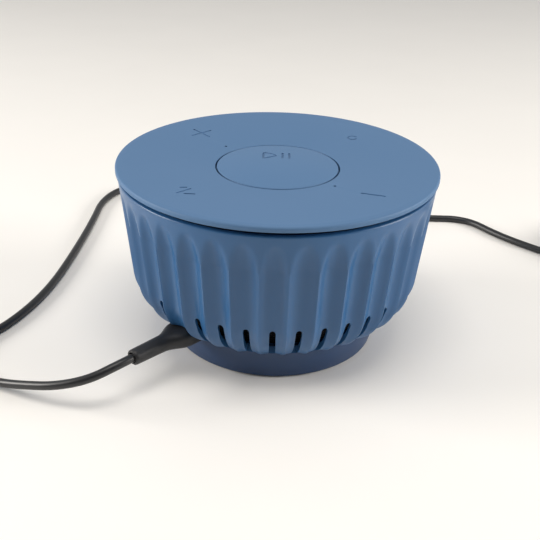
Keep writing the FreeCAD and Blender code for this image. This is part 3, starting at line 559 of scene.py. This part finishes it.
def make_tie():
    """Hook-and-loop strap round the coil: a rounded rectangle loop carried across its width."""
    low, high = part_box("cord_tie")
    gap = 0.05
    half = (high.z - low.z) / MM / 2 - gap
    steps = 64
    outside = superellipse(half + 0.1, half, 7.0, steps)
    inside = superellipse(half - 0.4, half - 0.5, 7.0, steps)
    edge = STRAP_WIDTH / 2
    rings = []
    for across, flat in ((-edge, outside), (edge, outside), (edge, inside), (-edge, inside)):
        height = flat[:, 1] + half + gap
        rings.append(np.stack([COIL_MIDDLE + flat[:, 0], np.full(steps, across), height], -1))
    points = np.concatenate(rings)
    points[:, :2] = placed(points[:, :2], COIL_CENTRE, STRAP_ANGLE)
    tie = make_object("coil_strap", points, grid_faces(4, steps, True, True), 30.0)
    return finish_piece(tie, "speaker_base", NYLON, "tie_black", "cord_tie")


# ---------------------------------------------------------------- the shell

def shell_outline():
    """Points up the shell with their outward normals and inward ways: foot, knee, wall, rolled rim.

    The last two values are the rows where the slots start and end.
    """
    knee = np.array([KNEE_RADIUS, KNEE_HEIGHT])
    rim = np.array([RIM_RADIUS, RIM_HEIGHT])
    along = (rim - knee) / np.linalg.norm(rim - knee)
    outward = np.array([along[1], -along[0]])
    centre = knee - outward * BOWL_ARC
    low = math.atan2(BOWL_FOOT - centre[1], BOWL_FOOT_RADIUS - centre[0])
    high = math.atan2(*(knee - centre)[::-1])
    slot_angles = [math.asin((z - centre[1]) / BOWL_ARC) for z in (SLOT_LOW, SLOT_HIGH)]
    below_slots = 3
    angles = np.concatenate([np.linspace(low, slot_angles[0], below_slots + 1)[:-1],
                             np.linspace(slot_angles[0], slot_angles[1], SLOT_ROWS + 1)[:-1],
                             np.linspace(slot_angles[1], high, 5)])
    arc_normals = np.stack([np.cos(angles), np.sin(angles)], -1)
    arc = centre + arc_normals * BOWL_ARC
    # the wall's rows stand closer together where the flutes fade
    stops = np.concatenate([np.linspace(0, 0.45, 8)[1:-1], np.linspace(0.45, 0.93, 20), [0.97]])
    wall_end = rim - along * RIM_ROLL
    wall = knee + (wall_end - knee) * stops[:, None]
    wall = np.concatenate([wall, wall_end[None]])
    wall_normals = np.repeat(outward[None], len(wall), 0)
    bends = np.linspace(0, math.pi / 2, 6)[1:]
    roll_centre = wall_end - outward * RIM_ROLL
    rolled_normals = np.array([outward * math.cos(b) + along * math.sin(b) for b in bends])
    rolled = roll_centre + rolled_normals * RIM_ROLL
    foot = np.array([[BOWL_FOOT_RADIUS - 1.1, BOWL_FOOT + 0.25], [BOWL_FOOT_RADIUS - 0.45, BOWL_FOOT]])
    foot_normals = np.repeat(arc_normals[:1], len(foot), 0)
    points = np.concatenate([foot, arc, wall, rolled])
    lower_normals = np.concatenate([foot_normals, arc_normals, wall_normals])
    normals = np.concatenate([lower_normals, rolled_normals])
    inward = -np.concatenate([lower_normals, np.repeat(outward[None], len(bends), 0)])
    slot_row = len(foot) + below_slots
    return points, normals, inward, slot_row, slot_row + SLOT_ROWS


def flute_depth(share, height):
    """Depth of a flute at a share x of the pitch from its middle and a height z up the shell.

    It is FLUTE_DEPTH log(1 + exp(s v)) / s with v = lift(z) - (x / valley)^2 and s the sharpness: a
    round-bottomed valley between narrow soft ridges, whose top closes in an arch where the lift falls
    below zero. It fades to nothing under the rim, and to a fifth of itself at the foot.
    """
    valley, sharp, under_rim, over_foot = 0.46, 12.0, 1.6, 11.0
    lift = np.sqrt(np.clip((FLUTE_TOP - height) / (FLUTE_TOP - FLUTE_FULL), 0, 1)) * 1.25 - 0.25
    depth = np.logaddexp(0, sharp * (lift - (share / valley) ** 2)) / sharp * FLUTE_DEPTH
    depth *= np.clip((FLUTE_TOP + under_rim - height) / under_rim, 0, 1)
    return depth * np.clip((height - BOWL_FOOT + 1.0) / over_foot, 0.12, 1) ** 0.8


def wall_between(outside, count):
    """Faces that join two skins, the second numbered count on from the first, at every free edge."""
    one_way = np.concatenate([outside[:, [k, (k + 1) % 4]] for k in range(4)]).tolist()
    known = set(map(tuple, one_way))
    free = np.array([(a, b) for a, b in one_way if (b, a) not in known])
    return np.stack([free[:, 1], free[:, 0], free[:, 0] + count, free[:, 1] + count], -1)


def make_shell():
    """The fluted bowl. Radius = outline minus the flute's depth along the outline's normal.

    Slots are left out of the grid in each valley, and the rows over a slot are raised by a half
    circle to round its top. A plain inner skin follows the outline, and the two skins are walled
    together along every free edge.
    """
    outline, normals, inward, slot_low, slot_high = shell_outline()
    # columns inside the band follow the slot's width, and the rest spread over what is left
    band, inner_columns = 0.15, 7
    inner = np.linspace(-band, band, inner_columns)
    outer = np.linspace(band, 0.5, 6)[1:]
    columns = np.concatenate([-outer[::-1][1:], inner, outer])
    half = np.clip(SLOT_HALF * FLUTES / (2 * np.pi) / outline[:, 0], 0, band)[:, None]
    u = columns[None, :]
    beside = half + (np.abs(u) - band) / (0.5 - band) * (0.5 - half)
    share = np.where(np.abs(u) <= band + 1e-4, u / band * half, np.sign(u) * beside)
    depth = flute_depth(share, outline[:, 1:])
    arch = np.sqrt(np.clip(1 - (share / half) ** 2, 0, 1)) * SLOT_HALF
    run = np.concatenate([[0], np.cumsum(np.linalg.norm(np.diff(outline, axis=0), axis=1))])
    above = (run - run[slot_high])[:, None]
    # the rows lifted for a slot's round top come level again within this length
    settle = 5.0
    raise_by = np.where(above >= -1e-6, arch * np.clip(1 - above / settle, 0, 1), 0.0)
    tangent = np.gradient(outline, axis=0)
    tangent /= np.linalg.norm(tangent, axis=1)[:, None]
    lifted = outline[:, None] + tangent[:, None] * raise_by[..., None]
    outer_skin = lifted - normals[:, None] * depth[..., None]
    # the rim's top is narrow, so the gap over it falls away into shade
    skin = np.interp(outline[:, 1], [RIM_HEIGHT - 2.5, RIM_HEIGHT - 0.7], [SHELL_SKIN, RIM_SKIN])
    inner_skin = lifted + inward[:, None] * skin[:, None, None]
    pitch = 2 * np.pi / FLUTES
    flute_angle = -np.pi / 2 + pitch * np.arange(FLUTES)
    angle = flute_angle[None, :, None] + pitch * share[:, None, :]
    rows, per = len(outline), len(columns)
    skins = []
    for flat in (outer_skin, inner_skin):
        radius = np.repeat(flat[:, None, :, 0], FLUTES, 1)
        height = np.repeat(flat[:, None, :, 1], FLUTES, 1)
        skin_points = np.stack([radius * np.cos(angle), radius * np.sin(angle), height], -1)
        skins.append(skin_points.reshape(-1, 3))
    faces = grid_faces(rows, FLUTES * per, False, True)
    row = np.repeat(np.arange(rows - 1), FLUTES * per)
    column = np.tile(np.arange(FLUTES * per), rows - 1)
    first_inner = len(outer) - 1
    into_slot = column % per - first_inner
    port_flute = FLUTES - round(PORT_ANGLE * FLUTES / 360.0)
    slot = (into_slot >= 0) & (into_slot < inner_columns - 1) & (row >= slot_low) & (row < slot_high)
    slot &= column // per != port_flute
    outside = faces[~slot]
    count = len(skins[0])
    faces = np.concatenate([outside, outside[:, ::-1] + count, wall_between(outside, count)])
    shell = make_object("fluted_shell", np.concatenate(skins), faces, 50.0)
    cut_away(shell, port_cutter(), 42.0)
    finish_piece(shell, "speaker_base", SHELL_BLUE, "shell_blue", "body_shell")


def port_cutter():
    """The opening for the plug: a rounded rectangle carried radially, open at the shell's lower edge."""
    start, ahead = port_point(36.0, PORT_HEIGHT - 3.2)
    length, half_wide, half_high = 20.0, 6.3, 6.9
    sections = [(0.0, 0.01, 0.01, 2.0), (0.0, half_wide, half_high, 5.0),
                (length, half_wide, half_high, 5.0), (length, 0.01, 0.01, 2.0)]
    return lofted("port_cutter", sections, start, ahead)


# ---------------------------------------------------------------- the top

def capsule(start, end, width, steps=8):
    """Outline of a round-ended bar between two points."""
    start, end = np.array(start, float), np.array(end, float)
    heading = math.atan2(*(end - start)[::-1])
    out = []
    for centre, offset in ((end, -math.pi / 2), (start, math.pi / 2)):
        for t in np.linspace(0, math.pi, steps):
            angle = heading + offset + t
            out.append(centre + np.array([math.cos(angle), math.sin(angle)]) * width / 2)
    return np.array(out)


def bent_bar(points, width):
    """Outline of a bar of even width along a line of points."""
    points = np.asarray(points, float)
    tangent = np.gradient(points, axis=0)
    tangent /= np.linalg.norm(tangent, axis=1)[:, None]
    side = np.stack([-tangent[:, 1], tangent[:, 0]], -1) * width / 2
    return np.concatenate([points - side, (points + side)[::-1]])


def arc_points(centre, radius, first, last, count=24):
    """Points round a circle from one angle to another, in degrees."""
    t = np.radians(np.linspace(first, last, count))
    return np.array(centre) + radius * np.stack([np.cos(t), np.sin(t)], -1)


def engrave(piece, outline, surface, depth):
    """Sinks a closed outline into a surface given as height over the distance from the axis."""
    count = len(outline)
    floor = surface(np.hypot(outline[:, 0], outline[:, 1])) - depth
    low = np.column_stack([outline, floor])
    high = np.column_stack([outline, floor + depth + 1.5])
    ring = np.arange(count)
    sides = np.stack([ring, (ring + 1) % count, (ring + 1) % count + count, ring + count], -1)
    faces = [tuple(f) for f in sides] + [tuple(ring[::-1]), tuple(ring + count)]
    cut_away(piece, make_object("cutter", np.concatenate([low, high]), faces), 30.0)


def plate_surface(radius):
    """Height of the dished plate: straight from the button's hole up to the rim."""
    hole = BUTTON_RADIUS + BUTTON_GAP
    edge = PLATE_RADIUS - PLATE_BEVEL
    return TOTAL_HEIGHT - PLATE_DISH * np.clip((edge - radius) / (edge - hole), 0, 1)


def crown_surface(radius):
    """Height of the button's dome, a ball cap of the given crown."""
    ball = (BUTTON_RADIUS ** 2 + BUTTON_CROWN ** 2) / (2 * BUTTON_CROWN)
    return TOTAL_HEIGHT - ball + np.sqrt(ball ** 2 - np.asarray(radius) ** 2)


def make_top_plate():
    """The dished disc with its rounded edge, two microphone holes and four sunk control marks."""
    hole = BUTTON_RADIUS + BUTTON_GAP
    under = TOTAL_HEIGHT - PLATE_THICKNESS
    hub, web = 30.0, PLATE_RADIUS - 3.0
    outline = rounded([
        (hole, TOTAL_HEIGHT - PLATE_DISH - 1.0), (hole, TOTAL_HEIGHT - PLATE_DISH, 0.35),
        (PLATE_RADIUS - PLATE_BEVEL, TOTAL_HEIGHT, 3.0), (PLATE_RADIUS, TOTAL_HEIGHT, 0.75),
        (PLATE_RADIUS, under, 0.3), (web, under), (hub, under - PLATE_DISH),
        (hole, under - PLATE_DISH)], 7)
    plate = turned("top_plate_disc", outline, 256)
    for angle in MIC_ANGLES:
        centre = MIC_CIRCLE * np.array([math.cos(math.radians(angle)), math.sin(math.radians(angle))])
        engrave(plate, arc_points(centre, MIC_RADIUS, 0, 345), plate_surface, MIC_DEPTH)
    for mark in control_marks():
        engrave(plate, mark, plate_surface, ENGRAVING)
    finish_piece(plate, "rocker_plate", PLATE_BLUE, "plate_blue", "top_plate")


def control_marks():
    """Plus, minus, three short bars, and a small open ring: one on each quarter."""
    line, thin = 0.85, 0.8
    plus, minus, bars, ring = (-29.3, 29.4), (31.2, -26.8), (-29.0, -28.0), (28.0, 29.3)
    strokes = [((-4.4, 0), (-0.7, 0), line, plus, 45.0), ((0.7, 0), (4.4, 0), line, plus, 45.0),
               ((0, -4.4), (0, 4.4), line, plus, 45.0), ((-3.9, 0), (3.9, 0), line, minus, -24.0),
               ((-3.0, -2.6), (0.8, 2.0), thin, bars, 0.0), ((-0.6, -2.8), (2.6, -2.6), thin, bars, 0.0),
               ((-2.4, 2.6), (-0.6, 3.2), thin, bars, 0.0)]
    marks = [placed(capsule(start, end, width), centre, degrees)
             for start, end, width, centre, degrees in strokes]
    marks.append(placed(bent_bar(arc_points((0, 0), 1.7, 20, 330), 0.55), ring, 0.0))
    return marks


def make_button():
    """The domed centre button with a generic play and pause mark sunk into it."""
    radii = np.linspace(0, BUTTON_RADIUS - 0.35, 28)
    crown = np.stack([radii, crown_surface(radii)], -1)
    shoulder = TOTAL_HEIGHT - BUTTON_CROWN
    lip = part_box("center_button")[1].x / MM
    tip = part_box("center_button")[0].z / MM
    skirt = rounded([(BUTTON_RADIUS - 0.35, crown[-1, 1]), (BUTTON_RADIUS, shoulder - 0.05, 0.3),
                     (BUTTON_RADIUS, shoulder - 2.0), (lip, shoulder - 2.0), (lip, shoulder - 2.9),
                     (BUTTON_RADIUS - 1.4, shoulder - 2.9), (BUTTON_RADIUS - 1.4, shoulder - 1.3),
                     (2.0, shoulder - 0.1), (2.0, tip), (0.0, tip)], 5)
    button = turned("domed_button", np.concatenate([crown, skirt[1:]]), 192, closed=False)
    mark_centre = (-0.6, 5.6)
    sides = [((-4.6, -3.0), (-4.6, 3.0)), ((-4.0, 3.3), (-0.2, 0.5)), ((-4.0, -3.3), (-0.2, -0.5)),
             ((2.2, -2.8), (2.2, 2.8)), ((4.6, -2.8), (4.6, 2.8))]
    for start, end in sides:
        engrave(button, placed(capsule(start, end, 0.75), mark_centre, 0.0), crown_surface, ENGRAVING)
    finish_piece(button, "press_button", BUTTON_BLUE, "plate_blue", "center_button")


def make_plinth():
    """The tapered plinth cup, its foot groove and rounded lower edge."""
    outline = rounded([
        (0.0, 0.5), (28.0, 0.5, 0.2), (28.0, 1.5), (35.0, 1.5), (35.0, 0.5, 0.2), (37.1, 0.5, 0.5),
        (39.6, BOWL_FOOT, 0.25), (37.2, BOWL_FOOT), (37.2, 3.0, 0.5), (0.0, 3.0)], 5)
    plinth = turned("tapered_plinth", outline, 192, closed=False)
    # the plinth's darker blue is painted shade under the bowl's overhang
    finish_piece(plinth, "speaker_base", PLINTH_SHADED_BLUE, "plinth_blue", "base_plinth")


def make_scrim():
    """The cloth band behind the slots, down inside the plinth's mouth so that no slot shows plastic."""
    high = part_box("acoustic_mesh")[1]
    radius, top, foot = high.x / MM, high.z / MM, BOWL_FOOT + 0.2
    cloth = 0.5
    outline = [(radius, foot), (radius, top), (radius - cloth, top), (radius - cloth, foot)]
    scrim = turned("acoustic_scrim", outline, 160)
    finish_piece(scrim, "speaker_base", SCRIM, "mesh_cloth", "acoustic_mesh")


def make_foot():
    """The rubber foot ring, its two lower edges rounded."""
    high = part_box("foot_ring")[1]
    outer, inner, top = high.x / MM, 28.1, high.z / MM
    middle = (inner + outer) / 2
    outline = rounded([(middle, top), (outer, top), (outer, 0.0, 0.35), (inner, 0.0, 0.35),
                       (inner, top), (middle, top)], 6)
    foot = turned("rubber_foot", outline[:-1], 160)
    finish_piece(foot, "speaker_base", RUBBER, "foot_rubber", "foot_ring")


# ---------------------------------------------------------------- CAD nodes that keep their shape

NODE_MATERIALS = {
    BLACK: ("chassis", "top_deck", "gimbal_ring", "sound_deflector"),
    SCRIM: ("driver_spider",),
    STEEL: ("driver_basket", "front_washer", "yoke", "processor_shield", "microphones", "usb_socket",
            "usb_plug_shell", "charger_plug_shell"),
    BLACK_STEEL: ("base_screws", "driver_screws", "main_board_screws", "button_board_screws", "deck_screws"),
    RUBBER: ("driver_surround", "microphone_seals", "button_return_dome"),
    PULP: ("driver_cone", "dust_cap"),
    COPPER: ("voice_coil",),
    FERRITE: ("ring_magnet",),
    BOARD: ("main_board", "button_board", "usb_board"),
    EPOXY: ("amplifier_chip", "capacitors", "side_switches", "center_switch"),
    FILM: ("board_ribbon", "usb_ribbon"),
    JACKET: ("speaker_wires",),
}


def dress_nodes():
    """Gives every CAD node that keeps its own shape the material its part is made of."""
    for material, names in NODE_MATERIALS.items():
        for name in names:
            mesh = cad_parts[name].data
            mesh.materials.clear()
            mesh.materials.append(material)


# ---------------------------------------------------------------- the whole

make_camera()
lead = make_lead()
usb_plug = make_usb_plug()
charger_plug = make_charger_plug()
tie = make_tie()
make_room()
make_table()
make_shell()
make_plinth()
make_foot()
make_scrim()
make_top_plate()
make_button()
dress_nodes()
